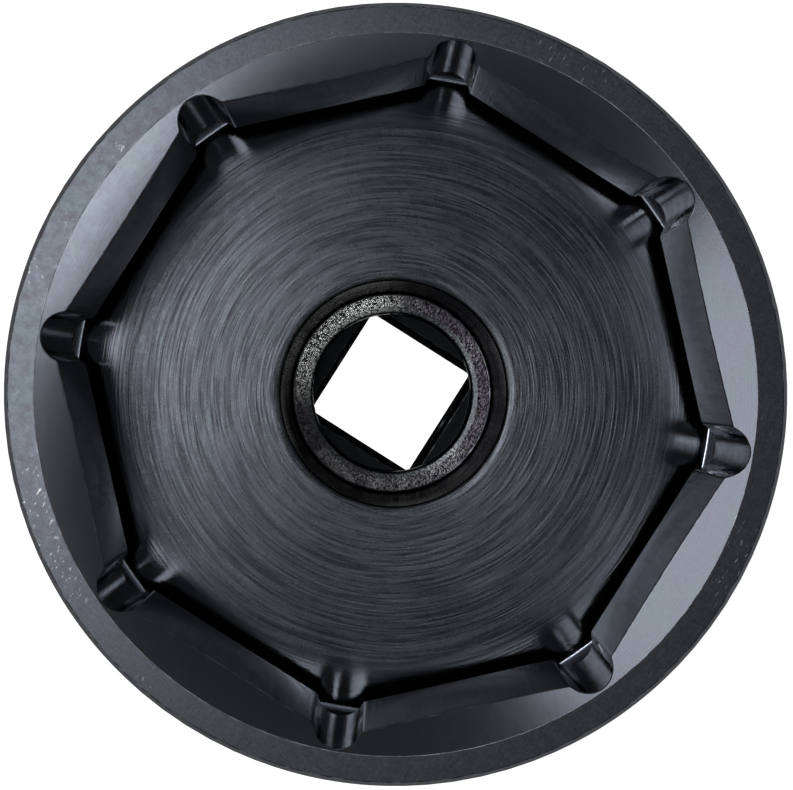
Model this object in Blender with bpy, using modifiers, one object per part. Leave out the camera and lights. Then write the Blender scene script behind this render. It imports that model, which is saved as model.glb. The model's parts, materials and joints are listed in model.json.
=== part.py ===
"""Cup-type oil filter wrench: an eight-sided socket cup welded to a hub with a square drive.

The tool stands on its drive end. The origin is the centre of that end face, and +Z runs along
the axis to the cup's mouth. Two of the cup's flats, and two sides of the square, face +X and -X.
Run with blender --background --python part.py, or from Blender's text editor.
"""

import math

import bmesh
import bpy

# Driving dimensions, in metres.
HEIGHT = 0.0700
GAP = 0.0003
TURNING_STOCK = 0.0015
CUT_OVERRUN = 0.0010

# Cup.
CUP_RADIUS = 0.04615
RIM_CHAMFER = 0.0004
BACK_EDGE_RADIUS = 0.0050
PLATE_THICKNESS = 0.0130
FLAT_COUNT = 8
ACROSS_FLATS = 0.0760
FLAT_LENGTH_END = 0.0162
FLOOR_DEPTH = 0.0207
LEAD_IN_RADIUS = 0.0425
LEAD_IN_ANGLE = math.radians(18.0)
FLUTE_RADIUS = 0.0031
FLUTE_CENTRE_RADIUS = 0.0391
UNDERCUT_RADIUS = 0.0424
UNDERCUT_FILLET = 0.0008
BORE_RADIUS = 0.0150
BORE_CHAMFER = 0.0004

# Hub.
HUB_RADIUS = 0.0240
HUB_EDGE = 0.0012
SPIGOT_RADIUS = 0.0200
SPIGOT_LENGTH = 0.0025
SHELF_DEPTH = 0.0435
SHELF_FILLET = 0.0004
RELIEF_RADIUS = 0.01177
RELIEF_LENGTH = 0.0025
DRIVE_SIZE = 0.0193
DRIVE_CORNER_RADIUS = 0.0006
DRIVE_RUN_OUT = 0.0006
DRIVE_LEAD_IN = 0.0010
PIN_HOLE_RADIUS = 0.0030
PIN_HOLE_HEIGHT = 0.0120
RING_GROOVE_WIDTH = 0.0050
RING_GROOVE_DEPTH = 0.0018

# Weld.
WELD_LEG = 0.0052
WELD_CROWN = 0.0007

# Resolution of the round surfaces.
CUP_STEPS = 96
HUB_STEPS = 72
WELD_STEPS = 48
FLUTE_STEPS = 24
PIN_HOLE_STEPS = 24
ARC_STEPS = 4
SHARP_ANGLE = math.radians(30.0)

# Heights worked out from the sizes above.
FLOOR_Z = HEIGHT - FLOOR_DEPTH
FLAT_END_Z = HEIGHT - FLAT_LENGTH_END
PLATE_BACK_Z = FLOOR_Z - PLATE_THICKNESS
SHELF_Z = HEIGHT - SHELF_DEPTH
SHOULDER_Z = SHELF_Z - RELIEF_LENGTH
HUB_SHOULDER_Z = PLATE_BACK_Z - GAP

# Materials: colour, roughness and metallic value of each piece.
OXIDE_CUP = ((0.060, 0.066, 0.068, 1.0), 0.36, 0.9)
OXIDE_HUB = ((0.048, 0.050, 0.052, 1.0), 0.48, 0.9)
OXIDE_WELD = ((0.036, 0.036, 0.037, 1.0), 0.60, 0.8)


def clear_scene():
    """Removes the objects of the start-up scene."""
    for old in list(bpy.data.objects):
        bpy.data.objects.remove(old, do_unlink=True)


def new_collection(name):
    """Returns a new collection under the scene's own."""
    collection = bpy.data.collections.new(name)
    bpy.context.scene.collection.children.link(collection)
    return collection


def steel(name, look):
    """Returns a Principled material from (colour, roughness, metallic)."""
    colour, roughness, metallic = look
    material = bpy.data.materials.new(name)
    material.use_nodes = True
    shader = material.node_tree.nodes["Principled BSDF"]
    shader.inputs["Base Color"].default_value = colour
    shader.inputs["Roughness"].default_value = roughness
    shader.inputs["Metallic"].default_value = metallic
    material.diffuse_color = colour
    return material


def arc(centre, radius, start, end, steps=ARC_STEPS):
    """Returns the points of a round stretch of a profile, both ends included (angles in degrees)."""
    points = []
    for step in range(steps + 1):
        angle = math.radians(start + (end - start) * step / steps)
        across = centre[0] + radius * math.cos(angle)
        height = centre[1] + radius * math.sin(angle)
        points.append((across, height))
    return points


def turned(name, profile, steps, collection):
    """Returns a ring-shaped solid: a closed (radius, height) outline swept round Z."""
    mesh = bpy.data.meshes.new(name)
    corners = [(radius, 0.0, height) for radius, height in profile]
    edges = [(i, (i + 1) % len(corners)) for i in range(len(corners))]
    mesh.from_pydata(corners, edges, [])
    part = bpy.data.objects.new(name, mesh)
    collection.objects.link(part)
    sweep = part.modifiers.new("sweep", "SCREW")
    sweep.axis = "Z"
    sweep.angle = math.tau
    sweep.steps = steps
    sweep.render_steps = steps
    sweep.use_merge_vertices = True
    sweep.merge_threshold = 0.00001
    return part


def prism_cutter(name, collection, sides, apothems, heights, corner_radius=0.0):
    """Returns a hidden prism with a side facing +X, from its apothems at the bottom and the top.

    The count of sides is a multiple of four, so half a step of turn brings a side to +X.
    """
    shape = bmesh.new()
    to_corner = 1.0 / math.cos(math.pi / sides)
    low, high = heights
    bmesh.ops.create_cone(
        shape,
        cap_ends=True,
        segments=sides,
        radius1=apothems[0] * to_corner,
        radius2=apothems[1] * to_corner,
        depth=high - low,
    )
    if corner_radius > 0.0:
        uprights = [edge for edge in shape.edges if edge.verts[0].co.z * edge.verts[1].co.z < 0.0]
        bmesh.ops.bevel(
            shape, geom=uprights, offset=corner_radius, segments=3, profile=0.5, affect="EDGES"
        )
    cutter = as_cutter(name, shape, collection)
    cutter.rotation_euler.z = math.pi / sides
    cutter.location.z = 0.5 * (low + high)
    return cutter


def rod_cutter(name, collection, radius, length, steps):
    """Returns a hidden cylinder along Z, centred on its own origin."""
    shape = bmesh.new()
    bmesh.ops.create_cone(
        shape, cap_ends=True, segments=steps, radius1=radius, radius2=radius, depth=length
    )
    return as_cutter(name, shape, collection)


def as_cutter(name, shape, collection):
    """Returns an object of a bmesh, drawn as wire and left out of renders."""
    mesh = bpy.data.meshes.new(name)
    shape.to_mesh(mesh)
    shape.free()
    cutter = bpy.data.objects.new(name, mesh)
    collection.objects.link(cutter)
    cutter.display_type = "WIRE"
    cutter.hide_render = True
    return cutter


def cut(part, cutter):
    """Takes a cutter away from a part."""
    boolean = part.modifiers.new(cutter.name, "BOOLEAN")
    boolean.operation = "DIFFERENCE"
    boolean.solver = "EXACT"
    boolean.object = cutter


def finish(part, material, parent):
    """Applies the modifiers, shades the round faces smooth, and adds the material and the parent."""
    graph = bpy.context.evaluated_depsgraph_get()
    mesh = bpy.data.meshes.new_from_object(part.evaluated_get(graph))
    part.modifiers.clear()
    part.data = mesh
    mesh.name = part.name
    mesh.shade_smooth()
    mesh.set_sharp_from_angle(angle=SHARP_ANGLE)
    mesh.materials.clear()
    mesh.materials.append(material)
    part.parent = parent


def lead_in_height(radius):
    """Returns the height of the mouth's shallow cone at a radius."""
    return HEIGHT - (LEAD_IN_RADIUS - radius) * math.tan(LEAD_IN_ANGLE)


def cup_profile():
    """Returns the cup's turned outline; the cavity is still a round hole inside the flats."""
    bored = ACROSS_FLATS / 2 - TURNING_STOCK
    counterbore = SPIGOT_RADIUS + GAP
    seat_z = PLATE_BACK_Z + SPIGOT_LENGTH
    back_edge = (CUP_RADIUS - BACK_EDGE_RADIUS, PLATE_BACK_Z + BACK_EDGE_RADIUS)
    fillet = (UNDERCUT_RADIUS - UNDERCUT_FILLET, FLOOR_Z + UNDERCUT_FILLET)
    outside = [(CUP_RADIUS - RIM_CHAMFER, HEIGHT), (CUP_RADIUS, HEIGHT - RIM_CHAMFER)]
    outside += arc(back_edge, BACK_EDGE_RADIUS, 0, -90)
    hole = [
        (counterbore, PLATE_BACK_Z),
        (counterbore, seat_z),
        (BORE_RADIUS, seat_z),
        (BORE_RADIUS, FLOOR_Z - BORE_CHAMFER),
        (BORE_RADIUS + BORE_CHAMFER, FLOOR_Z),
    ]
    undercut = arc(fillet, UNDERCUT_FILLET, -90, 0) + [(UNDERCUT_RADIUS, FLAT_END_Z)]
    mouth = [(bored, FLAT_END_Z), (bored, lead_in_height(bored)), (LEAD_IN_RADIUS, HEIGHT)]
    return outside + hole + undercut + mouth


def hub_profile():
    """Returns the hub's turned outline, with a pilot hole where the square drive is cut."""
    pilot = DRIVE_SIZE / 2 - TURNING_STOCK
    top = HUB_SHOULDER_Z + SPIGOT_LENGTH
    groove_top = PIN_HOLE_HEIGHT + RING_GROOVE_WIDTH / 2
    groove_bottom = PIN_HOLE_HEIGHT - RING_GROOVE_WIDTH / 2
    groove_radius = HUB_RADIUS - RING_GROOVE_DEPTH
    fillet = (BORE_RADIUS - SHELF_FILLET, SHELF_Z + SHELF_FILLET)
    outside = [
        (SPIGOT_RADIUS, top),
        (SPIGOT_RADIUS, HUB_SHOULDER_Z),
        (HUB_RADIUS, HUB_SHOULDER_Z),
        (HUB_RADIUS, groove_top),
        (groove_radius, groove_top),
        (groove_radius, groove_bottom),
        (HUB_RADIUS, groove_bottom),
        (HUB_RADIUS, HUB_EDGE),
        (HUB_RADIUS - HUB_EDGE, 0.0),
    ]
    inside = [
        (pilot, 0.0),
        (pilot, SHOULDER_Z),
        (RELIEF_RADIUS, SHOULDER_Z),
        (RELIEF_RADIUS, SHELF_Z),
    ]
    return outside + inside + arc(fillet, SHELF_FILLET, -90, 0) + [(BORE_RADIUS, top)]


def weld_profile():
    """Returns the outline of a fillet weld with a crowned face."""
    inner = HUB_RADIUS + GAP
    top = HUB_SHOULDER_Z
    face = []
    steps = 2 * ARC_STEPS
    for step in range(steps + 1):
        share = step / steps
        crown = WELD_CROWN * math.sin(math.pi * share)
        across = inner + WELD_LEG * (1.0 - share) + crown
        height = top - WELD_LEG * share - crown
        face.append((across, height))
    return [(inner, top)] + face


def make_cup(parts, cutters):
    """Returns the cup: turned, then cut to eight flats with a round relief at each corner."""
    cup = turned("socket_cup", cup_profile(), CUP_STEPS, parts)
    below = FLAT_END_Z - CUT_OVERRUN
    above = HEIGHT + CUT_OVERRUN
    apothem = ACROSS_FLATS / 2
    cut(cup, prism_cutter("cavity_prism", cutters, FLAT_COUNT, (apothem, apothem), (below, above)))
    for index in range(FLAT_COUNT):
        angle = math.tau * (index + 0.5) / FLAT_COUNT
        flute = rod_cutter(f"flute_{index + 1}", cutters, FLUTE_RADIUS, above - below, FLUTE_STEPS)
        flute.location.x = FLUTE_CENTRE_RADIUS * math.cos(angle)
        flute.location.y = FLUTE_CENTRE_RADIUS * math.sin(angle)
        flute.location.z = 0.5 * (below + above)
        flute.rotation_euler.z = angle
        cut(cup, flute)
    return cup


def make_hub(parts, cutters):
    """Returns the hub: turned, then cut with the square drive and the cross hole."""
    hub = turned("drive_hub", hub_profile(), HUB_STEPS, parts)
    half = DRIVE_SIZE / 2
    heights = (-CUT_OVERRUN, SHOULDER_Z + DRIVE_RUN_OUT)
    square = prism_cutter("drive_square", cutters, 4, (half, half), heights, DRIVE_CORNER_RADIUS)
    cut(hub, square)
    mouth = (half + DRIVE_LEAD_IN + CUT_OVERRUN, half)
    cut(hub, prism_cutter("drive_lead_in", cutters, 4, mouth, (-CUT_OVERRUN, DRIVE_LEAD_IN)))
    across = 2 * (HUB_RADIUS + CUT_OVERRUN)
    pin_hole = rod_cutter("pin_hole", cutters, PIN_HOLE_RADIUS, across, PIN_HOLE_STEPS)
    pin_hole.rotation_euler.y = math.pi / 2
    pin_hole.location.z = PIN_HOLE_HEIGHT
    cut(hub, pin_hole)
    return hub


def make_weld(parts):
    """Returns the weld ring in the corner between the hub and the cup's back."""
    return turned("weld_bead", weld_profile(), WELD_STEPS, parts)


def main():
    """Builds the tool."""
    clear_scene()
    parts = new_collection("oil_filter_wrench")
    cutters = new_collection("cutters")
    frame = bpy.data.objects.new("oil_filter_wrench", None)
    parts.objects.link(frame)
    cup = make_cup(parts, cutters)
    hub = make_hub(parts, cutters)
    weld = make_weld(parts)
    finish(cup, steel("black_oxide_cup", OXIDE_CUP), frame)
    finish(hub, steel("black_oxide_hub", OXIDE_HUB), frame)
    finish(weld, steel("black_oxide_weld", OXIDE_WELD), frame)


main()
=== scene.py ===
# %% [markdown]
# # A cup-type oil filter wrench in black oxide steel
# The tool is a heavy steel cup. Its mouth has eight flats that grip the end of an oil filter, and a
# hub behind it takes a 3/4 inch square drive. Each piece below stands in the place of one solid of
# the imported model, which keeps its size. What this script adds is what a machinist would see: eased
# edges, tool marks, the weld's ripples, and the thin black coat with its worn spots, together with
# painted highlights, glints and shade in its colour.

# %% Load the imported model
import json
import math

import bpy
import numpy as np
from mathutils import Matrix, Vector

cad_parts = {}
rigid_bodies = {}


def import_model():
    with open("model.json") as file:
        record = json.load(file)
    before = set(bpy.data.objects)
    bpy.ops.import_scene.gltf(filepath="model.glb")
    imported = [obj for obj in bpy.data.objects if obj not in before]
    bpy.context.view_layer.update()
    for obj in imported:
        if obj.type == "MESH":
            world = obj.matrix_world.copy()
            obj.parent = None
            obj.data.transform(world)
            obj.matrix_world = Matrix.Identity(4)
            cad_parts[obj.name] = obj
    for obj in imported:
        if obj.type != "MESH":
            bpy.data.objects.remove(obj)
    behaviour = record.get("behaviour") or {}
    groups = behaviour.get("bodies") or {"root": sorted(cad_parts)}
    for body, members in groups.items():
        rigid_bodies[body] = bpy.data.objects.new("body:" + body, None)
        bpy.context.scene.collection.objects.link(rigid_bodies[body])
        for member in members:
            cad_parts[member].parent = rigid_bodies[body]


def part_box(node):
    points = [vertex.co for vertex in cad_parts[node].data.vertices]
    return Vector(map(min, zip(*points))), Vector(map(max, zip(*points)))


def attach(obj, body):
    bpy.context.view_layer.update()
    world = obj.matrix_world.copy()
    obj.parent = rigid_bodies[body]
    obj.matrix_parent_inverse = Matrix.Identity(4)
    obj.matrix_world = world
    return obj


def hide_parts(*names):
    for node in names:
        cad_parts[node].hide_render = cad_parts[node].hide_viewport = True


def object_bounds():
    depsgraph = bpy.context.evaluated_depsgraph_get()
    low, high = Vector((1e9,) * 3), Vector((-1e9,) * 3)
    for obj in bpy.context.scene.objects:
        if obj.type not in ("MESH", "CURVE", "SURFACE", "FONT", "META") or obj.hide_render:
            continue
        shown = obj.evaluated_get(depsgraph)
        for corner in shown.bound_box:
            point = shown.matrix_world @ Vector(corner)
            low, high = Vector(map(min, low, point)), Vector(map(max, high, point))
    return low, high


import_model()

MM = 0.001
cad_low, cad_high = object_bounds()
cup_low, cup_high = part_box("socket_cup")
_, hub_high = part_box("drive_hub")
weld_low, weld_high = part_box("weld_bead")
HEIGHT = cad_high.z / MM
CUP_RADIUS = cup_high.x / MM
PLATE_BACK = cup_low.z / MM
HUB_RADIUS = hub_high.y / MM
HUB_TOP = hub_high.z / MM
print(f"tool: {2 * CUP_RADIUS:.1f} mm across, {HEIGHT:.1f} mm high, plate back at {PLATE_BACK:.1f} mm")

# %% [markdown]
# ## Sizes inside the cup
# The boxes above give the outside. The sizes of the cavity and the bore follow from the filter and
# the driver: 76 mm across eight flats, and a 19 mm square. All of them are in millimetres, heights
# are above the face that the tool stands on, and radii are from the axis.

# %% Sizes of the cavity, the bore and the drive
FLAT_COUNT = 8
APOTHEM = 38.0
FLUTE_RADIUS = 3.1
FLUTE_CENTRE = 39.1
RIM_CHAMFER = 0.6
LEAD_IN_RADIUS = 42.5
LEAD_IN_ANGLE = math.radians(18.0)
FLAT_END = HEIGHT - 16.2
FLOOR = HEIGHT - 20.7
UNDERCUT_RADIUS = 42.4
SMOOTH_FROM = 34.8
SMOOTH_TO = 38.3
BORE_RADIUS = 15.0
SPIGOT_RADIUS = 20.0
SPIGOT_LENGTH = 2.5
GAP = 0.3
SHELF = HEIGHT - 43.5
RELIEF_RADIUS = 11.85
RELIEF_FLOOR = SHELF - 2.5
DRIVE_HALF = 9.65
DRIVE_LEAD_IN = 1.0
SHELF_DISH = 0.4
SHELF_BAND = 1.1
PIN_HOLE_RADIUS = 3.0
PIN_HOLE_HEIGHT = 12.0
RING_GROOVE_WIDTH = 5.0
RING_GROOVE_DEPTH = 1.8

# %% [markdown]
# ## Outlines in plan
# Seen along the axis, the cavity is a polygon with something round at each corner. Such an outline
# could be drawn as a curve, or cut with cylinders. Here it is a list of complex numbers, because
# then a turn is one multiplication and a mirror is one conjugate. One side and one corner are
# worked out, and the rest are turned copies.

# %% Outline helpers
def turned_copies(side_and_corner, count):
    """Repeats one side and corner round the axis: each copy is the first times a unit complex number."""
    turns = np.exp(2j * np.pi * np.arange(count) / count)
    return (turns[:, None] * side_and_corner[None, :]).ravel()


def with_mirror(first_half, corner_angle):
    """Adds the half beyond the corner's line: turn the line to real, conjugate, and turn back."""
    line = np.exp(1j * corner_angle)
    second_half = np.conj(first_half / line) * line
    return second_half[::-1]


def eased(start, corner, end, count):
    """A short quadratic curve (1-u)^2 start + 2u(1-u) corner + u^2 end, without its two ends."""
    u = np.linspace(0.0, 1.0, count + 2)[1:-1]
    return (1 - u) ** 2 * start + 2 * u * (1 - u) * corner + u**2 * end


# %% [markdown]
# ### The cavity: eight flats with a drilled relief at each corner
# A sharp inner corner would crack under load and would dig into the filter's edges. So a hole is
# drilled at each corner first, and the flats are cut into the holes. A flat is the line x = apothem.
# It meets the round relief where the circle about its centre crosses that line.

# %% Cavity outline
EDGE_EASE = 0.28
corner_angle = math.pi / FLAT_COUNT
flute_centre = FLUTE_CENTRE * np.exp(1j * corner_angle)
meet_y = flute_centre.imag - math.sqrt(FLUTE_RADIUS**2 - (APOTHEM - flute_centre.real) ** 2)
meet = APOTHEM + 1j * meet_y

flat_end_y = meet_y - EDGE_EASE
flat = APOTHEM + 1j * flat_end_y * np.sin(np.linspace(-np.pi / 2, np.pi / 2, 15))
first_arc_angle = np.angle(meet - flute_centre) + EDGE_EASE / FLUTE_RADIUS
arc_angles = np.linspace(first_arc_angle, corner_angle, 16)
half_flute = flute_centre + FLUTE_RADIUS * np.exp(1j * arc_angles)
half_corner = np.concatenate([eased(flat[-1], meet, half_flute[0], 4), half_flute])
other_half = with_mirror(half_corner[:-1], corner_angle)
cavity = turned_copies(np.concatenate([flat, half_corner, other_half]), FLAT_COUNT)
print(f"cavity outline: {len(cavity)} points, each flat {2 * meet_y:.1f} mm wide")

# %% [markdown]
# ### The square drive
# The square is punched, so its corners are small arcs. The points along a side are spaced evenly in
# angle, because the same columns of the mesh also run round the hub's outside.

# %% Square outline
SQUARE_CORNER = 0.6
side_end = DRIVE_HALF - SQUARE_CORNER
side_angles = np.linspace(-math.atan(side_end / DRIVE_HALF), math.atan(side_end / DRIVE_HALF), 41)
square_side = DRIVE_HALF * (1 + 1j * np.tan(side_angles))
corner_arc = np.linspace(0.0, np.pi / 2, 9)[1:-1]
square_corner = side_end * (1 + 1j) + SQUARE_CORNER * np.exp(1j * corner_arc)
square = turned_copies(np.concatenate([square_side, square_corner]), 4)
print(f"square outline: {len(square)} points")

# %% [markdown]
# ## Profiles with eased corners
# A turned part is a profile carried round the axis. Here the profile may differ from column to
# column, because the flats are nearer the axis than the reliefs. No machined edge is perfectly
# sharp, so each corner of the profile becomes a small true arc. A row just outside each end of the
# arc keeps the wide faces flat, so that they shade as flat metal.

# %% Profile helper
SUPPORT = 0.06


def eased_profile(corners):
    """Rounds a closed profile, given as (radius, height, fillet, arc steps, wear) per corner.

    Each radius or height is a number or one value per column. At a corner P the profile turns by an
    angle t. The arc touches both sides at a distance r tan(t/2) from P, and its centre stands off the
    first touching point by r, along the side's normal. Returns rows of (radius, height) and the wear
    of each row, which on the cup also paints highlights.
    """
    columns = max(np.size(value) for corner in corners for value in corner[:2])
    points = np.array([[np.broadcast_to(value, columns) for value in corner[:2]] for corner in corners])
    points = np.moveaxis(points, 1, 2)
    rows, wear_and_highlight = [], []
    for index, (_, _, fillet, steps, wear_or_highlight_level) in enumerate(corners):
        here = points[index]
        into = here - points[index - 1]
        out = points[(index + 1) % len(corners)] - here
        length_in = np.linalg.norm(into, axis=1, keepdims=True)
        length_out = np.linalg.norm(out, axis=1, keepdims=True)
        into = into / np.maximum(length_in, 1e-9)
        out = out / np.maximum(length_out, 1e-9)
        cosine = np.clip(np.sum(into * out, axis=1, keepdims=True), -1.0, 1.0)
        turn = np.arccos(cosine)
        half_tangent = np.maximum(np.tan(turn / 2), 1e-6)
        trim = np.minimum(fillet * half_tangent, 0.4 * np.minimum(length_in, length_out))
        radius = trim / half_tangent
        normal = (out - into * cosine) / np.maximum(np.sin(turn), 1e-6)
        centre = here - into * trim + normal * radius
        rows.append(here - into * (trim + np.minimum(SUPPORT, 0.1 * length_in)))
        for share in np.linspace(0.0, 1.0, steps + 1):
            swing = share * turn
            rows.append(centre - normal * radius * np.cos(swing) + into * radius * np.sin(swing))
        rows.append(here + out * (trim + np.minimum(SUPPORT, 0.1 * length_out)))
        wear_and_highlight += [0.0] + [wear_or_highlight_level] * (steps + 1) + [0.0]
    return np.array(rows), np.array(wear_and_highlight)


# %% [markdown]
# ## From a grid of points to a mesh
# Every piece of this tool is a ring: it closes round the axis, and its profile closes too, through
# the bore. So one function joins a grid of rows and columns into faces, with both seams closed.
# The wear of each point goes into an attribute, which the materials read to brighten worn edges and to paint
# highlights on the cup.

# %% Mesh helper
def ring_piece(name, points, wear_and_highlight, slots, replaced):
    """Makes a ring-shaped mesh from a grid of points, (rows, columns, 3) in millimetres.

    Face (i, j) joins rows i and i+1 at columns j and j+1, both counted round. slots holds a material
    for each row of faces. The wear, which on the cup also paints highlights, is a grid of rows by
    columns, or of one row or column that is repeated.
    The signed volume, the sum of p . (q x r) over the triangles, tells whether the faces point
    outwards.
    """
    rows, columns = points.shape[:2]
    row, column = np.meshgrid(np.arange(rows), np.arange(columns), indexing="ij")
    next_row, next_column = (row + 1) % rows, (column + 1) % columns
    faces = np.stack(
        [
            row * columns + column,
            next_row * columns + column,
            next_row * columns + next_column,
            row * columns + next_column,
        ],
        axis=-1,
    ).reshape(-1, 4)
    flat_points = points.reshape(-1, 3) * MM
    p, q, r, s = (flat_points[faces[:, k]] for k in range(4))
    volume = np.sum(p * np.cross(q, r)) + np.sum(p * np.cross(r, s))
    if volume < 0:
        faces = faces[:, ::-1]
    mesh = bpy.data.meshes.new(name)
    mesh.from_pydata(flat_points.tolist(), [], faces.tolist())
    materials = list(dict.fromkeys(slots))
    for material in materials:
        mesh.materials.append(material)
    index = np.array([materials.index(material) for material in slots])
    mesh.polygons.foreach_set("material_index", np.repeat(index, columns))
    wear_or_highlight_level = mesh.attributes.new("wear_and_highlight", "FLOAT", "POINT")
    wear_or_highlight_level.data.foreach_set("value", np.broadcast_to(wear_and_highlight, (rows, columns)).ravel().astype(np.float32))
    mesh.shade_smooth()
    mesh.update()
    piece = bpy.data.objects.new(name, mesh)
    bpy.context.scene.collection.objects.link(piece)
    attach(piece, "root")
    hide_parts(replaced)
    print(f"{name}: {len(faces)} faces, {abs(volume) / 6 / MM**3 / 1000:.1f} cm3")
    return piece


def swept(profile, outline_angles):
    """Carries rows of (radius, height) round the axis: x = r cos a, y = r sin a, z = height."""
    radius, height = profile[..., 0], profile[..., 1]
    return np.stack([radius * np.cos(outline_angles), radius * np.sin(outline_angles), height], axis=-1)


# %% [markdown]
# ## Black oxide steel
# Black oxide is a coat of magnetite, about a micrometre thick, grown on the steel in a hot salt bath
# and sealed with oil. It adds no thickness, so every tool mark below it still shows. It looks like
# dark metal: it mirrors, but only a ninth of the light comes back, with a cold blue-grey tint. The
# coat is thinner in places, which turns it a little green or violet there. Where it is rubbed off, at
# edges and nicks, bright steel shows. Some pale edges, specks and glints are painted highlights, and
# hollows are darkened as painted shade. All finishes share this base, and each adds its tool marks.

# %% Node helper and colours
def linear(hexadecimal):
    """Turns an sRGB hex colour into linear red, green, blue and alpha."""
    parts = [int(hexadecimal[i : i + 2], 16) / 255 for i in (1, 3, 5)]
    return [c / 12.92 if c <= 0.04045 else ((c + 0.055) / 1.055) ** 2.4 for c in parts] + [1.0]


def node(tree, kind, inputs=None, **settings):
    """Adds one node: settings are its properties, and inputs are values or sockets to link."""
    made = tree.nodes.new(kind)
    for key, value in settings.items():
        setattr(made, key, value)
    for key, value in (inputs or {}).items():
        if isinstance(value, bpy.types.NodeSocket):
            tree.links.new(value, made.inputs[key])
        else:
            made.inputs[key].default_value = value
    return made


OXIDE_BLUE = linear("#5a5e66")
OXIDE_GREEN = linear("#576162")
OXIDE_VIOLET = linear("#615a68")
OXIDE_PLUM = linear("#6a5a70")
# Painted shade: the colour that darkens the valleys of the tool marks.
VALLEY_SHADE_BLACK = linear("#000000")
COMMON_TINTS = (OXIDE_BLUE, OXIDE_GREEN, OXIDE_VIOLET)
# Pale colours for a thin or rubbed coat and for bare steel. They also paint highlights and glints.
THIN_OXIDE_OR_HIGHLIGHT = linear("#878c90")
BARE_STEEL_OR_GLINT = linear("#c9ccca")


# %% [markdown]
# ### Marks left by each tool
# A lathe leaves rings round the axis. A broach leaves streaks along it. Blasting leaves grains. Each
# is noise whose coordinate is measured the right way: the distance from the axis for a face, the
# height for a bore, the angle for a broached wall. Sizes are real, in millimetres, and the finest
# rings are drawn a little coarser than the real ones, so that they show.

# %% Mark helpers
def position_parts(tree):
    """Returns sockets of the position, the distance from the axis, and the height, in millimetres."""
    place = node(tree, "ShaderNodeTexCoord").outputs["Object"]
    scaled = node(tree, "ShaderNodeVectorMath", {0: place, 1: (1 / MM,) * 3}, operation="MULTIPLY")
    level = node(tree, "ShaderNodeVectorMath", {0: scaled.outputs[0], 1: (1, 1, 0)}, operation="MULTIPLY")
    distance = node(tree, "ShaderNodeVectorMath", {0: level.outputs[0]}, operation="LENGTH")
    height = node(tree, "ShaderNodeSeparateXYZ", {0: scaled.outputs[0]}).outputs["Z"]
    return scaled.outputs[0], distance.outputs["Value"], height


def rings(tree, along, pitch, detail=3.0):
    """Noise that changes only along one measure, with about one ring in each pitch (mm)."""
    per_pitch = node(tree, "ShaderNodeMath", {0: along, 1: 1.0 / pitch}, operation="MULTIPLY")
    made = node(
        tree,
        "ShaderNodeTexNoise",
        {"W": per_pitch.outputs[0], "Scale": 1.0, "Detail": detail, "Roughness": 0.65},
        noise_dimensions="1D",
    )
    return made.outputs["Fac"]


def broken_rings(tree, place, distance, pitch, arc, detail=2.0):
    """Rings that fade in and out along their way round, each arc about `arc` degrees long.

    The noise is read at (direction / arc in radians, distance / pitch), where direction is the unit
    vector away from the axis. So it has no seam, as an angle would have at 180 degrees.
    """
    level = node(tree, "ShaderNodeVectorMath", {0: place, 1: (1, 1, 0)}, operation="MULTIPLY")
    outward = node(tree, "ShaderNodeVectorMath", {0: level.outputs[0]}, operation="NORMALIZE")
    per_arc = math.degrees(1.0) / arc
    turns = node(tree, "ShaderNodeVectorMath", {0: outward.outputs[0], "Scale": per_arc}, operation="SCALE")
    per_pitch = node(tree, "ShaderNodeMath", {0: distance, 1: 1.0 / pitch}, operation="MULTIPLY")
    lift = node(tree, "ShaderNodeCombineXYZ", {"Z": per_pitch.outputs[0]})
    read_at = node(tree, "ShaderNodeVectorMath", {0: turns.outputs[0], 1: lift.outputs[0]}, operation="ADD")
    made = node(
        tree,
        "ShaderNodeTexNoise",
        {"Vector": read_at.outputs[0], "Scale": 1.0, "Detail": detail, "Roughness": 0.6},
    )
    return made.outputs["Fac"]


def grains(tree, place, size, detail=2.0, stretch=(1, 1, 1)):
    """Noise with grains of a size in mm, drawn out along an axis by dividing that axis's coordinate."""
    drawn = node(tree, "ShaderNodeVectorMath", {0: place, 1: stretch}, operation="DIVIDE")
    made = node(
        tree,
        "ShaderNodeTexNoise",
        {"Vector": drawn.outputs[0], "Scale": 1.0 / size, "Detail": detail, "Roughness": 0.6},
    )
    return made.outputs["Fac"]


def stepped(tree, value, low, high, to_low=0.0, to_high=1.0):
    """Maps a value from one range to another, smoothly and clamped."""
    made = node(
        tree,
        "ShaderNodeMapRange",
        {"Value": value, "From Min": low, "From Max": high, "To Min": to_low, "To Max": to_high},
        interpolation_type="SMOOTHSTEP",
    )
    return made.outputs["Result"]


def blended(tree, *weighted):
    """Returns the weighted mean of (socket, weight) pairs."""
    whole = sum(weight for _, weight in weighted)
    total = None
    for socket, weight in weighted:
        term = node(tree, "ShaderNodeMath", {0: socket, 1: weight / whole}, operation="MULTIPLY").outputs[0]
        if total is None:
            total = term
        else:
            total = node(tree, "ShaderNodeMath", {0: total, 1: term}, operation="ADD").outputs[0]
    return total


def mixed(tree, share, first, second):
    """Mixes two colours by a share."""
    made = node(tree, "ShaderNodeMix", {0: share, 6: first, 7: second}, data_type="RGBA")
    return made.outputs[2]
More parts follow.
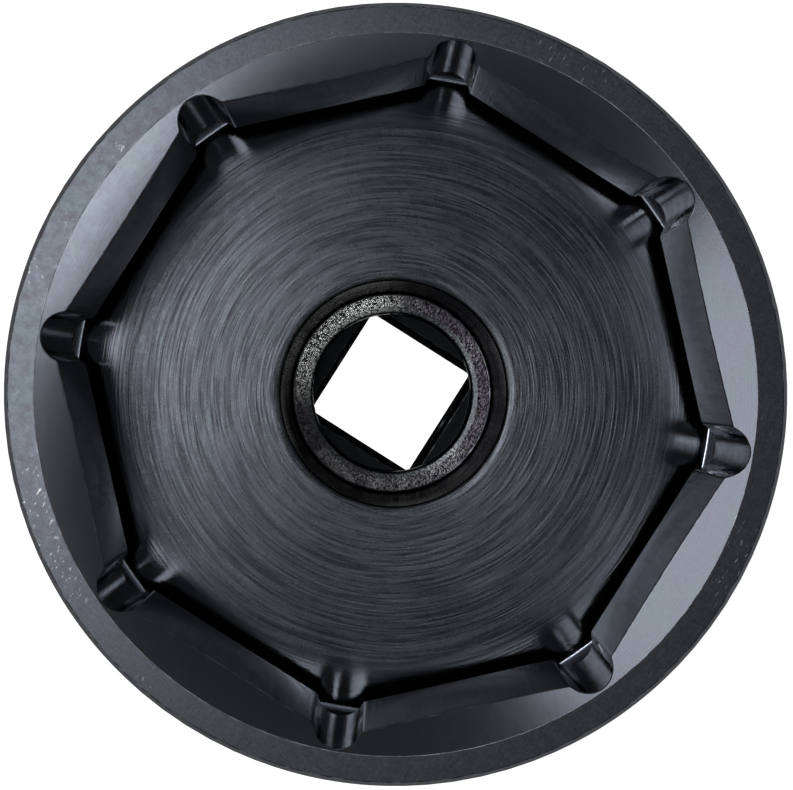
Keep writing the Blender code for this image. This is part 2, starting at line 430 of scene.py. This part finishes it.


# %% [markdown]
# ### One recipe for all the finishes
# The recipe takes the height field of the tool marks and their depth in millimetres. It mixes the
# oxide's tints and darkens the valleys of the marks as painted shade. It pales the coat where the wear
# attribute and a patchy noise agree, which is real wear and partly painted highlight, bares the steel
# where bright says so, and makes the sheen a little uneven, as an oiled part is.

# %% Oxide recipe
def oxide_steel(
    name, marks, depth, roughness, shade=1.0, contrast=0.25, uneven=0.04, bright=None, spread=0.0,
    grazing=1.0, tints=COMMON_TINTS, polished_edge=None,
):
    """Returns a black oxide material. marks is a function of the tree and the position sockets.

    depth: height of the marks in millimetres.
    shade: how dark the coat is, as a factor on its tints.
    contrast: how much painted shade darkens the valleys of the marks.
    uneven: change in roughness from place to place.
    bright: function that tells where bare metal or a painted glint shows.
    spread: how much wider the sheen is across the rings than along them.
    grazing: factor on what is mirrored at a low angle.
    tints: the coat's main colour and its two variations.
    polished_edge: roughness that a face reaches at its outer edge.
    """
    material = bpy.data.materials.new(name)
    material.use_nodes = True
    tree = material.node_tree
    shader = tree.nodes["Principled BSDF"]
    place, distance, height = position_parts(tree)

    blotches = grains(tree, place, 7.0, detail=4.0)
    film = grains(tree, place, 1.1, detail=4.0)
    blue, green, violet = ([c * shade for c in tint[:3]] + [1.0] for tint in tints)
    colour = mixed(tree, stepped(tree, blotches, 0.42, 0.70, 0.0, 0.4), blue, green)
    colour = mixed(tree, stepped(tree, film, 0.48, 0.74, 0.0, 0.35), colour, violet)

    relief = marks(tree, place, distance, height)
    # Painted shade: the valleys of the marks are darkened, by as much as contrast says.
    valley_shade = stepped(tree, relief, 0.38, 0.62, contrast, 0.0)
    colour = mixed(tree, valley_shade, colour, VALLEY_SHADE_BLACK)
    # Where the wear attribute is high, the coat is paled. That is real wear at edges, and on the cup also a
    # painted highlight at the rim's inner edge and on the drilled reliefs.
    edge = node(tree, "ShaderNodeAttribute", attribute_name="wear_and_highlight").outputs["Fac"]
    patchy = stepped(tree, grains(tree, place, 1.6, detail=4.0), 0.42, 0.68)
    thin = node(tree, "ShaderNodeMath", {0: edge, 1: patchy}, operation="MULTIPLY").outputs[0]
    colour = mixed(tree, thin, colour, THIN_OXIDE_OR_HIGHLIGHT)
    # Bare steel where bright says so: real nicks on the rim, painted glints on the shelf, and specks on the
    # flats that are partly tears and partly a painted reflection.
    if bright:
        colour = mixed(tree, bright(tree, place), colour, BARE_STEEL_OR_GLINT)
    sheen = blended(tree, (film, 0.6), (relief, 0.4))
    rough = stepped(tree, sheen, 0.35, 0.65, roughness - uneven, roughness + uneven)
    if polished_edge is not None:
        outer = stepped(tree, distance, SMOOTH_FROM, SMOOTH_TO)
        rough = node(tree, "ShaderNodeMix", {0: outer, 2: rough, 3: polished_edge}).outputs[0]
    bump = node(tree, "ShaderNodeBump", {"Height": relief, "Distance": depth * MM, "Strength": 1.0})

    tree.links.new(colour, shader.inputs["Base Color"])
    tree.links.new(rough, shader.inputs["Roughness"])
    tree.links.new(bump.outputs["Normal"], shader.inputs["Normal"])
    shader.inputs["Metallic"].default_value = 1.0
    shader.inputs["Specular Tint"].default_value = (grazing, grazing, grazing, 1.0)
    if spread > 0.0:
        tangent = node(tree, "ShaderNodeTangent", direction_type="RADIAL", axis="Z")
        tree.links.new(tangent.outputs["Tangent"], shader.inputs["Tangent"])
        shader.inputs["Anisotropic"].default_value = spread
        shader.inputs["Anisotropic Rotation"].default_value = 0.25
    return material


# %% [markdown]
# ### The finishes, one by one
# The rim was faced and then handled, so it carries nicks, while the edge outside it is plain, its coat
# darkened as painted shade. The lead-in is a fine turned cone. The flats were broached, and are torn a
# little at their lower end, where bright specks are partly tears and partly a painted reflection. The
# floor was turned with a coarse feed, whose rings catch the light like a record's grooves, and the
# fillet round it carries a painted highlight, a pale line. The shelf at the bottom of the bore was left
# as forged and blasted, and painted glints stand for its sparkle. The relief and the punched square are
# matt and almost black as painted shade, and the undercut and the bore are darkened as painted shade too.
# One shiny material could cover all of it, but then nothing would tell the cuts apart. Each function
# below returns the height of one tool's marks, from 0 to 1, at a place on the tool.

# %% Tool marks of each finish
def faced(tree, place, distance, height):
    """Fine rings and light scratches in two directions."""
    scratch_a = grains(tree, place, 0.10, detail=1.0, stretch=(28, 1, 28))
    scratch_b = grains(tree, place, 0.12, detail=1.0, stretch=(1, 22, 22))
    return blended(
        tree, (rings(tree, distance, 0.22), 0.3), (scratch_a, 0.3), (scratch_b, 0.3),
        (grains(tree, place, 0.35), 0.8),
    )


def fine_turned_face(tree, place, distance, height):
    """Fine rings round the axis on a face or a shallow cone."""
    return blended(tree, (rings(tree, distance, 0.16), 0.5), (grains(tree, place, 0.3), 0.6))


def coarse_turned_face(tree, place, distance, height):
    """Coarse feed rings with finer rings in them, both torn here and there, and a little grain.

    They fade out near the wall, where the tool dwelt and left the face smooth.
    """
    torn = blended(
        tree, (broken_rings(tree, place, distance, 0.31, 24.0, detail=1.0), 1.0),
        (broken_rings(tree, place, distance, 0.17, 12.0, detail=1.0), 0.8), (grains(tree, place, 0.18), 0.4),
    )
    smooth = stepped(tree, distance, SMOOTH_FROM, SMOOTH_TO, 0.0, 0.8)
    return node(tree, "ShaderNodeMix", {0: smooth, 2: torn, 3: 0.5}).outputs[0]


def broached(tree, place, distance, height):
    """Streaks along the axis, with chatter across them and torn grains between."""
    return blended(
        tree, (grains(tree, place, 0.32, stretch=(1, 1, 30)), 1.0), (rings(tree, height, 0.9), 0.2),
        (grains(tree, place, 0.28, stretch=(1, 1, 3)), 0.5),
    )


def turned_wall(tree, place, distance, height):
    """Rings at each height on a bore or an outside."""
    return blended(tree, (rings(tree, height, 0.35), 1.0), (grains(tree, place, 0.3), 0.4))


def blasted(tree, place, distance, height):
    """Grains of blasted, forged skin."""
    return blended(tree, (grains(tree, place, 0.42, detail=2.0), 1.0), (grains(tree, place, 1.0), 0.3))


# %% [markdown]
# ### Bare metal and painted glints
# The coat is missing where the tool was knocked. On the blasted shelf the bright specks are painted
# glints, massed on one side as a painted highlight, and low on the flats they are partly tears and
# partly a painted reflection. This could be painted on by hand. Here each kind is a fine noise, which
# gives the shape of a nick or glint, times a coarse one or a distance from a spot, which tells where
# they are.

# %% Painted glints on blasted skin
FACET_SIZE = 0.36
# The spot where the painted glints crowd, which paints a highlight on one side of the shelf.
GLINT_SPOT_AT = 166.0
GLINT_SPOT_CORE = 6.0
GLINT_SPOT_REACH = 14.0
SHELF_MIDDLE = 13.4


def near_spot(tree, place, degrees, radius, height, core, reach, most):
    """Falls from most to 0, as the distance from a spot grows from core to reach (mm).

    The spot is given by its angle in degrees, its radius and its height.
    """
    angle = math.radians(degrees)
    spot = (radius * math.cos(angle), radius * math.sin(angle), height)
    away = node(tree, "ShaderNodeVectorMath", {0: place, 1: spot}, operation="DISTANCE").outputs["Value"]
    return stepped(tree, away, core, reach, most, 0.0)


def glints(tree, place):
    """Painted glints: small bright specks on the blasted skin, crowded on one side as a painted highlight.
    """
    glint_specks = stepped(tree, grains(tree, place, FACET_SIZE, detail=2.0), 0.42, 0.52)
    zone = stepped(tree, grains(tree, place, 6.0, detail=1.0), 0.40, 0.66, 0.04, 0.16)
    glint_side = near_spot(
        tree, place, GLINT_SPOT_AT, SHELF_MIDDLE, SHELF, GLINT_SPOT_CORE, GLINT_SPOT_REACH, 1.0
    )
    zone = node(tree, "ShaderNodeMath", {0: zone, 1: glint_side}, operation="MAXIMUM").outputs[0]
    return node(tree, "ShaderNodeMath", {0: glint_specks, 1: zone}, operation="MULTIPLY").outputs[0]


# %% Nicks on the rim
NICK_SIZE = 0.35
NICK_STRETCH = (1.0, 3.2, 1.0)
NICKED_AT = (228.0, 240.0, 94.0, 6.0)
NICKED_CORE = 1.0
NICKED_REACH = 8.0


def rim_nicks(tree, place):
    """Short bright scratches, crowded near the places where the rim was knocked."""
    spots = stepped(tree, grains(tree, place, NICK_SIZE, detail=3.0, stretch=NICK_STRETCH), 0.61, 0.68)
    zone = stepped(tree, grains(tree, place, 9.0, detail=1.0), 0.56, 0.70, 0.0, 0.4)
    for degrees in NICKED_AT:
        near = near_spot(tree, place, degrees, CUP_RADIUS, HEIGHT, NICKED_CORE, NICKED_REACH, 0.8)
        zone = node(tree, "ShaderNodeMath", {0: zone, 1: near}, operation="MAXIMUM").outputs[0]
    return node(tree, "ShaderNodeMath", {0: spots, 1: zone}, operation="MULTIPLY").outputs[0]


# %% Torn spots and painted sheen low on the broached flats
SPECK_SIZE = 0.5
SPECK_STRETCH = (1.0, 1.0, 2.0)
SPECKS_FROM = FLAT_END + 0.5
SPECKS_TO = FLAT_END + 8.0


def tears_and_painted_sheen(tree, place):
    """Small bright specks low on the flats: tears where the broach's chips broke off, and partly a painted
    reflection that makes the lower flats lighter.
    """
    specks = stepped(tree, grains(tree, place, SPECK_SIZE, detail=3.0, stretch=SPECK_STRETCH), 0.56, 0.68)
    height = node(tree, "ShaderNodeSeparateXYZ", {0: place}).outputs["Z"]
    low = stepped(tree, height, SPECKS_FROM, SPECKS_TO, 0.50, 0.0)
    return node(tree, "ShaderNodeMath", {0: specks, 1: low}, operation="MULTIPLY").outputs[0]


# %% [markdown]
# ### The finishes of this tool
# Every finish is one call of the recipe, with its marks, their depth and its roughness. Separate
# recipes would drift apart, while the real finishes are one coat over different cuts.

# %% Finishes
RIM = oxide_steel("black oxide steel, faced rim", faced, 0.014, 0.35, bright=rim_nicks)
# Painted shade: the outer chamfer's coat is darkened to 0.4, so it shows as a dark band at the silhouette.
SHADED_EDGE = oxide_steel("black oxide steel, broken edge with painted shade", faced, 0.006, 0.34, shade=0.4)
LEAD_IN = oxide_steel(
    "black oxide steel, turned lead-in", fine_turned_face, 0.003, 0.14, shade=0.62, contrast=0.10,
    uneven=0.01,
)
# The bright specks low on the flats are partly tears and partly a painted reflection.
FLATS = oxide_steel(
    "black oxide steel, broached flats", broached, 0.030, 0.12, shade=1.3, contrast=0.6, bright=tears_and_painted_sheen
)
# Painted shade: the undercut lies in shadow, and its coat is darkened to 0.4.
SHADED_UNDERCUT = oxide_steel(
    "black oxide steel, turned undercut with painted shade", turned_wall, 0.010, 0.20, shade=0.4, grazing=0.4
)
# A painted highlight: this fillet's coat is made four times as pale, so it shows as a bright line.
FILLET_HIGHLIGHT = oxide_steel(
    "black oxide steel, fillet with painted highlight", turned_wall, 0.004, 0.14, shade=4.0, contrast=0.1, uneven=0.01
)
FLOOR_FINISH = oxide_steel(
    "black oxide steel, coarse turned floor", coarse_turned_face, 0.07, 0.28, shade=0.9, contrast=0.60,
    spread=0.4, polished_edge=0.10,
)
# Painted shade: the bore is deep, and its coat is darkened to 0.25.
SHADED_BORE_FINISH = oxide_steel("black oxide steel, bored wall with painted shade", turned_wall, 0.010, 0.20, shade=0.25, grazing=0.1)
# Painted glints: bright specks on the shelf and its inner band, crowded on one side as a painted highlight.
SHELF_FINISH_AND_GLINTS = oxide_steel(
    "black oxide steel, blasted shelf with painted glints", blasted, 0.12, 0.22, shade=0.36, contrast=0.9, bright=glints,
    grazing=0.1, tints=(OXIDE_VIOLET, OXIDE_PLUM, OXIDE_PLUM),
)
BAND_FINISH_AND_GLINTS = oxide_steel(
    "black oxide steel, skimmed inner band of the shelf", blasted, 0.05, 0.26, shade=0.42, contrast=0.35,
    bright=glints, grazing=0.3,
)
# Painted shade: the relief lies deep in the hub, and its coat is darkened to 0.08, almost black.
SHADED_RELIEF_FINISH = oxide_steel(
    "black oxide steel, bored relief with painted shade", turned_wall, 0.02, 0.34, shade=0.08, grazing=0.1
)
OUTSIDE = oxide_steel("black oxide steel, turned outside", turned_wall, 0.012, 0.36)
WELD_FINISH = oxide_steel("black oxide steel, weld metal", blasted, 0.06, 0.40, shade=0.8)

# Painted shade: the punched square is a matt near-black that mirrors nothing, so its walls stay as dark as
# shade.
SHADED_SQUARE_FINISH = oxide_steel("black oxide steel, punched square painted black for shade", broached, 0.02, 0.60, shade=0.06)
punched = SHADED_SQUARE_FINISH.node_tree.nodes["Principled BSDF"]
punched.inputs["Metallic"].default_value = 0.0
punched.inputs["Specular IOR Level"].default_value = 0.0
print(f"finishes: {len([m for m in bpy.data.materials if 'oxide' in m.name])}")

# %% [markdown]
# ## The socket cup
# On the real tool this is one blank, turned and then broached. The profile runs down the outside,
# under the back plate, up through the hole for the hub, across the floor, round the undercut, up the
# flats and out over the lead-in to the rim. The flats' radius differs from column to column, and the
# height where they meet the cone follows from it, so the scalloped edge comes out by itself. The
# drilled reliefs' columns get a high wear value, which pales their coat as a painted highlight.

# %% Socket cup
cavity_radius = np.abs(cavity)
lead_in_height = HEIGHT - (LEAD_IN_RADIUS - cavity_radius) * math.tan(LEAD_IN_ANGLE)
BORE_MOUTH_DEPTH = 0.5
BORE_MOUTH_WIDTH = 1.0
UNDERCUT_FILLET = 0.8
FILLET_HIGHLIGHT_HEIGHT = 1.0
BACK_EDGE = 5.0
cup_corners = [
    # radius, height, fillet, arc steps, wear
    (CUP_RADIUS - RIM_CHAMFER, HEIGHT, 0.12, 3, 0.7),
    (CUP_RADIUS, HEIGHT - RIM_CHAMFER, 0.20, 3, 0.5),
    (CUP_RADIUS, PLATE_BACK, BACK_EDGE, 12, 0.1),
    (SPIGOT_RADIUS + GAP, PLATE_BACK, 0.2, 2, 0.0),
    (SPIGOT_RADIUS + GAP, PLATE_BACK + SPIGOT_LENGTH, 0.1, 2, 0.0),
    (BORE_RADIUS, PLATE_BACK + SPIGOT_LENGTH, 0.15, 2, 0.0),
    (BORE_RADIUS, FLOOR - BORE_MOUTH_DEPTH, 0.3, 3, 0.1),
    (BORE_RADIUS + 0.3 * BORE_MOUTH_WIDTH, FLOOR - 0.3 * BORE_MOUTH_DEPTH, 0.6, 3, 0.1),
    (BORE_RADIUS + BORE_MOUTH_WIDTH, FLOOR, 2.0, 3, 0.0),
    (UNDERCUT_RADIUS, FLOOR, UNDERCUT_FILLET, 8, 0.0),
    (UNDERCUT_RADIUS, FLOOR + FILLET_HIGHLIGHT_HEIGHT, 0.05, 0, 0.0),
    (UNDERCUT_RADIUS, FLAT_END, 0.15, 2, 0.0),
    (cavity_radius, FLAT_END, 0.25, 5, 0.35),
    (cavity_radius, lead_in_height, 0.18, 4, 0.55),
    # The rim's inner edge gets full wear, partly real rubbing and partly a painted highlight line.
    (LEAD_IN_RADIUS, HEIGHT, 0.10, 3, 1.0),
]
cup_rows, cup_wear_and_highlight = eased_profile(cup_corners)
corner_finish = [
    SHADED_EDGE, OUTSIDE, OUTSIDE, OUTSIDE, SHADED_BORE_FINISH, SHADED_BORE_FINISH, SHADED_BORE_FINISH, FLOOR_FINISH, FLOOR_FINISH,
    FILLET_HIGHLIGHT, SHADED_UNDERCUT, SHADED_UNDERCUT, FLATS, LEAD_IN, RIM,
]


def rows_of(corner):
    """Counts a corner's rows: its arc steps and one more, and a supporting row at each side."""
    return corner[3] + 3


def finishes(corners, after_corner):
    """Gives every row of faces the finish of the stretch that follows the corner it belongs to."""
    return [finish for corner, finish in zip(corners, after_corner) for _ in range(rows_of(corner))]


# Painted highlight: the walls of the drilled reliefs get a high wear value, so their coat is paled as if
# lit.
DRILLED_HIGHLIGHT = 0.9
ON_THE_HOLE = 0.02
flute_centres = turned_copies(np.array([flute_centre]), FLAT_COUNT)
to_centre = np.abs(cavity[:, None] - flute_centres[None, :]).min(axis=1)
drilled_column = np.abs(to_centre - FLUTE_RADIUS) < ON_THE_HOLE
row_starts = np.cumsum([0] + [rows_of(corner) for corner in cup_corners])
flats_corner = corner_finish.index(FLATS)
row_numbers = np.arange(len(cup_rows))
in_wall = (row_numbers >= row_starts[flats_corner]) & (row_numbers <= row_starts[flats_corner + 1])
cup_wear_and_highlight = np.maximum(cup_wear_and_highlight[:, None], DRILLED_HIGHLIGHT * in_wall[:, None] * drilled_column[None, :])
print(f"drilled reliefs: {drilled_column.sum()} of {len(cavity)} columns")

ring_piece(
    "cup_body", swept(cup_rows, np.angle(cavity)), cup_wear_and_highlight, finishes(cup_corners, corner_finish),
    "socket_cup",
)

# %% [markdown]
# ## The drive hub
# The hub is turned, and the square is punched from the drive end until it breaks into the round
# relief. Its corners stop under the shelf, so the shelf's inner edge stays a whole circle. The shelf
# is dished a little, as the end of a drilled bore is, and its inner band was skimmed when the relief
# was bored. A groove round the outside holds the ring that
# keeps the driver's pin in. It is a dip in the same profile, so it needs no cutting.

# %% Drive hub
square_radius = np.abs(square)
groove_top = PIN_HOLE_HEIGHT + RING_GROOVE_WIDTH / 2
groove_bottom = PIN_HOLE_HEIGHT - RING_GROOVE_WIDTH / 2
groove_radius = HUB_RADIUS - RING_GROOVE_DEPTH
flare = (DRIVE_HALF + DRIVE_LEAD_IN) / DRIVE_HALF
hub_shoulder = HUB_TOP - SPIGOT_LENGTH
HUB_EDGE = 1.2
BAND_RISE = 0.22
hub_corners = [
    # radius, height, fillet, arc steps, wear
    (SPIGOT_RADIUS, HUB_TOP, 0.2, 2, 0.0),
    (SPIGOT_RADIUS, hub_shoulder, 0.1, 2, 0.0),
    (HUB_RADIUS, hub_shoulder, 0.3, 3, 0.0),
    (HUB_RADIUS, groove_top, 0.3, 4, 0.6),
    (groove_radius, groove_top, 0.5, 5, 0.0),
    (groove_radius, groove_bottom, 0.5, 5, 0.0),
    (HUB_RADIUS, groove_bottom, 0.3, 4, 0.6),
    (HUB_RADIUS, HUB_EDGE, 0.4, 4, 0.6),
    (HUB_RADIUS - HUB_EDGE, 0.0, 0.4, 4, 0.7),
    (square_radius * flare, 0.0, 0.2, 3, 0.7),
    (square_radius, DRIVE_LEAD_IN, 0.3, 3, 0.6),
    (square_radius, RELIEF_FLOOR, 0.15, 2, 0.2),
    (RELIEF_RADIUS, RELIEF_FLOOR, 0.15, 2, 0.0),
    (RELIEF_RADIUS, SHELF - SHELF_DISH, 0.6, 6, 0.25),
    (RELIEF_RADIUS + SHELF_BAND, SHELF - SHELF_DISH + BAND_RISE, 0.5, 3, 0.0),
    (BORE_RADIUS, SHELF, 0.4, 6, 0.3),
    (BORE_RADIUS, HUB_TOP, 0.2, 2, 0.2),
]
hub_finish = [OUTSIDE] * 9 + [SHADED_SQUARE_FINISH] * 2 + [SHADED_RELIEF_FINISH] * 2
hub_finish += [BAND_FINISH_AND_GLINTS, SHELF_FINISH_AND_GLINTS] + [SHADED_BORE_FINISH] * 2
hub_rows, hub_wear = eased_profile(hub_corners)
hub = ring_piece(
    "hub_body", swept(hub_rows, np.angle(square)), hub_wear[:, None], finishes(hub_corners, hub_finish),
    "drive_hub",
)

# %% [markdown]
# ### The cross hole for the driver's ring
# A pin and a rubber ring in the groove hold the square driver. The hole is drilled through both walls
# along X. It could be drawn into the grid of the hub, but a boolean with a round cutter gives the true
# saddle-shaped edge. The cutter widens by 45 degrees at both ends, which breaks that edge.

# %% Cross hole
HOLE_SIDES = 64
FLARE_FROM = 21.9
FLARE_TO = 30.0
hole_x = np.array([-FLARE_TO, -FLARE_FROM, FLARE_FROM, FLARE_TO])
hole_radius = PIN_HOLE_RADIUS + np.array([1, 0, 0, 1]) * (FLARE_TO - FLARE_FROM)
turn = np.linspace(0.0, 2 * np.pi, HOLE_SIDES, endpoint=False)
cutter_points = np.stack(
    [
        np.repeat(hole_x, HOLE_SIDES),
        (hole_radius[:, None] * np.cos(turn)).ravel(),
        PIN_HOLE_HEIGHT + (hole_radius[:, None] * np.sin(turn)).ravel(),
    ],
    axis=-1,
)
ring_start, step = np.meshgrid(np.arange(3) * HOLE_SIDES, np.arange(HOLE_SIDES), indexing="ij")
next_step = (step + 1) % HOLE_SIDES
near_ring = [ring_start + step, ring_start + next_step]
far_ring = [ring_start + next_step + HOLE_SIDES, ring_start + step + HOLE_SIDES]
sides = np.stack(near_ring + far_ring, axis=-1).reshape(-1, 4)
caps = [list(range(HOLE_SIDES))[::-1], list(range(3 * HOLE_SIDES, 4 * HOLE_SIDES))]
cutter_mesh = bpy.data.meshes.new("hole_cutter")
cutter_mesh.from_pydata((cutter_points * MM).tolist(), [], sides.tolist() + caps)
cutter_mesh.materials.append(OUTSIDE)
cutter = bpy.data.objects.new("hole_cutter", cutter_mesh)
bpy.context.scene.collection.objects.link(cutter)
cut = hub.modifiers.new("cross hole", "BOOLEAN")
cut.operation = "DIFFERENCE"
cut.solver = "EXACT"
cut.object = cutter
bpy.context.view_layer.update()
drilled = bpy.data.meshes.new_from_object(hub.evaluated_get(bpy.context.evaluated_depsgraph_get()))
hub.modifiers.clear()
hub.data = drilled
SHARP_FROM = math.radians(38.0)
drilled.set_sharp_from_angle(angle=SHARP_FROM)
bpy.data.objects.remove(cutter)
print(f"hub_body: {len(drilled.polygons)} faces with its cross hole")

# %% [markdown]
# ## The weld
# A fillet weld is laid in one pass. Each pause of the torch leaves a ripple, so the bead looks like
# fallen coins. The ripple's crest lags in the middle of the bead, where the metal froze last. The
# height of the bead is a crown across the section times a scalloped wave along it. Its two toes
# wander a little, as a hand-held torch does.

# %% Weld bead
weld_inner = HUB_RADIUS + GAP
weld_top = weld_high.z / MM
weld_bottom = weld_low.z / MM
leg = weld_top - weld_bottom
RIPPLES = 92
LEAST_CROWN = 0.28
RIPPLE_HEIGHT = 0.30
TOE_MARGIN = 0.25
across = np.linspace(0.0, 1.0, 25)[:, None]
around = np.linspace(0.0, 2 * np.pi, RIPPLES * 8, endpoint=False)[None, :]
lag = 2.2 * (2 * across - 1) ** 2
wander = 0.5 * np.sin(5 * around) + 0.35 * np.sin(13 * around + 1.0)
ripple = np.abs(np.sin(0.5 * (RIPPLES * around + 3 * wander + lag)))
crown = np.sin(np.pi * across) * (LEAST_CROWN + RIPPLE_HEIGHT * ripple)
toe = 0.12 * np.sin(9 * around + 0.7) + 0.08 * np.sin(23 * around)
base_radius = weld_inner + (leg - TOE_MARGIN + toe) * (1 - across)
base_height = weld_top - (leg - TOE_MARGIN + toe) * across
face_radius = base_radius + crown
face_height = base_height - crown
root_radius = np.full_like(face_radius[:1], weld_inner)
root_height = np.full_like(face_radius[:1], weld_top)
weld_radius = np.concatenate([face_radius, root_radius])
weld_height = np.concatenate([face_height, root_height])
weld_points = np.stack(
    [weld_radius * np.cos(around), weld_radius * np.sin(around), weld_height], axis=-1
)
weld_slots = [WELD_FINISH] * len(weld_points)
ring_piece("weld_ring", weld_points, np.zeros((1, 1)), weld_slots, "weld_bead")

# %% [markdown]
# ## The floor, the light and the camera
# The tool stands on a plain white sheet that glows near the tool, like a light table, and less further
# out. So the square hole shows white from above, and the outside isn't washed out by the sheet. A
# softbox hangs on one side, almost overhead. A small lamp beside the lens looks into the corner of
# wall and floor, which sends its light back as streaks. Two big softboxes would light every side
# alike and hide the tool marks. The room is pale at eye level and dim above, so the metal has
# something dark to mirror.

# %% Camera
CAMERA_ABOVE_RIM = 157.0
VIEW_WIDTH = 93.0
SENSOR_WIDTH = 36.0
TURN = math.radians(32.39)
LEFT_OF_AXIS = 2.06
ABOVE_AXIS = 0.87
right = np.array([math.cos(TURN), math.sin(TURN), 0.0])
up = np.array([-math.sin(TURN), math.cos(TURN), 0.0])
camera_data = bpy.data.cameras.new("camera")
camera_data.sensor_width = SENSOR_WIDTH
camera_data.lens = SENSOR_WIDTH * CAMERA_ABOVE_RIM / VIEW_WIDTH
camera_data.shift_x = 0.0233
camera_data.shift_y = -0.0101
camera_data.clip_start = 0.01
camera_data.clip_end = 20.0
camera = bpy.data.objects.new("camera", camera_data)
eye = (-LEFT_OF_AXIS * right + ABOVE_AXIS * up) * MM
camera.location = (eye[0], eye[1], (HEIGHT + CAMERA_ABOVE_RIM) * MM)
camera.rotation_euler = (0.0, 0.0, TURN)
bpy.context.scene.collection.objects.link(camera)
bpy.context.scene.camera = camera
print(f"camera: {camera_data.lens:.1f} mm lens, {CAMERA_ABOVE_RIM:.0f} mm above the rim")

# %% [markdown]
# ### The sheet
# Paper is matt, so it mirrors nothing. Its glow is a function of the distance from the tool's axis,
# and a small extra step of it lies under the square hole, where only the hole shows it.

# %% Sheet
SHEET_HALF = 3.0
NEAR_GLOW = 0.80
FAR_GLOW = 0.30
EXTRA_GLOW = 0.25
floor_mesh = bpy.data.meshes.new("white_sheet")
sheet_corners = [(x * SHEET_HALF, y * SHEET_HALF, 0) for x, y in ((-1, -1), (1, -1), (1, 1), (-1, 1))]
floor_mesh.from_pydata(sheet_corners, [], [(0, 1, 2, 3)])
floor = bpy.data.objects.new("white_sheet", floor_mesh)
bpy.context.scene.collection.objects.link(floor)
sheet = bpy.data.materials.new("white matt paper")
sheet.use_nodes = True
sheet_shader = sheet.node_tree.nodes["Principled BSDF"]
sheet_shader.inputs["Base Color"].default_value = linear("#f2f2f2")
sheet_shader.inputs["Roughness"].default_value = 0.9
sheet_shader.inputs["Emission Color"].default_value = (1, 1, 1, 1)
_, from_axis, _ = position_parts(sheet.node_tree)
wide_glow = stepped(sheet.node_tree, from_axis, 110.0, 420.0, NEAR_GLOW, FAR_GLOW)
glow_in_hole = stepped(sheet.node_tree, from_axis, 16.0, 21.0, EXTRA_GLOW, 0.0)
glow = node(sheet.node_tree, "ShaderNodeMath", {0: wide_glow, 1: glow_in_hole}, operation="ADD")
sheet.node_tree.links.new(glow.outputs[0], sheet_shader.inputs["Emission Strength"])
floor_mesh.materials.append(sheet)

# %% [markdown]
# ### The lights
# Each light is placed by angles from the rim's centre, because what the metal mirrors depends on
# angles. World coordinates would hide that.

# %% Lights
def softbox(name, azimuth, tilt, distance, size, power, roll=0.0):
    """Hangs an area light that faces the rim's centre.

    azimuth is counted in degrees from the camera's right, tilt from overhead, and distance, size and
    power are in metres and watts. The light's axes are side, away x side and away.
    """
    a, t = math.radians(azimuth), math.radians(tilt)
    level = math.cos(a) * right + math.sin(a) * up
    away = math.sin(t) * level + math.cos(t) * np.array([0.0, 0.0, 1.0])
    data = bpy.data.lights.new(name, "AREA")
    data.shape = "RECTANGLE"
    data.size, data.size_y = size
    data.energy = power
    light = bpy.data.objects.new(name, data)
    place = away * distance + np.array([0.0, 0.0, HEIGHT * MM])
    around = -math.sin(a) * right + math.cos(a) * up
    r = math.radians(roll)
    side = math.cos(r) * around + math.sin(r) * np.cross(around, away)
    turned = Matrix(np.column_stack([side, np.cross(away, side), away]).tolist()).to_4x4()
    light.matrix_world = Matrix.Translation(place) @ turned
    bpy.context.scene.collection.objects.link(light)
    print(f"{name}: {power} W from {tilt} degrees off overhead")


softbox("key_softbox", 164, 20, 0.70, (0.36, 0.27), 1.40, roll=-15)
softbox("lamp_by_the_lens", -34, 7.3, 0.158, (0.014, 0.014), 0.0066)

# %% [markdown]
# ### The room
# The room is a plain background. Its brightness depends only on how high one looks, so there is no
# picture in it that the metal could mirror.

# %% Room
AT_EYE_LEVEL = 0.80
OVERHEAD = 0.18
world = bpy.data.worlds.new("pale studio")
bpy.context.scene.world = world
world.use_nodes = True
room = world.node_tree
direction = node(room, "ShaderNodeTexCoord").outputs["Generated"]
rise = node(room, "ShaderNodeSeparateXYZ", {0: direction}).outputs["Z"]
brightness = stepped(room, rise, 0.10, 0.50, AT_EYE_LEVEL, OVERHEAD)
room.nodes["Background"].inputs["Color"].default_value = (0.98, 0.99, 1.0, 1.0)
room.links.new(brightness, room.nodes["Background"].inputs["Strength"])
bpy.context.scene.view_settings.view_transform = "Standard"
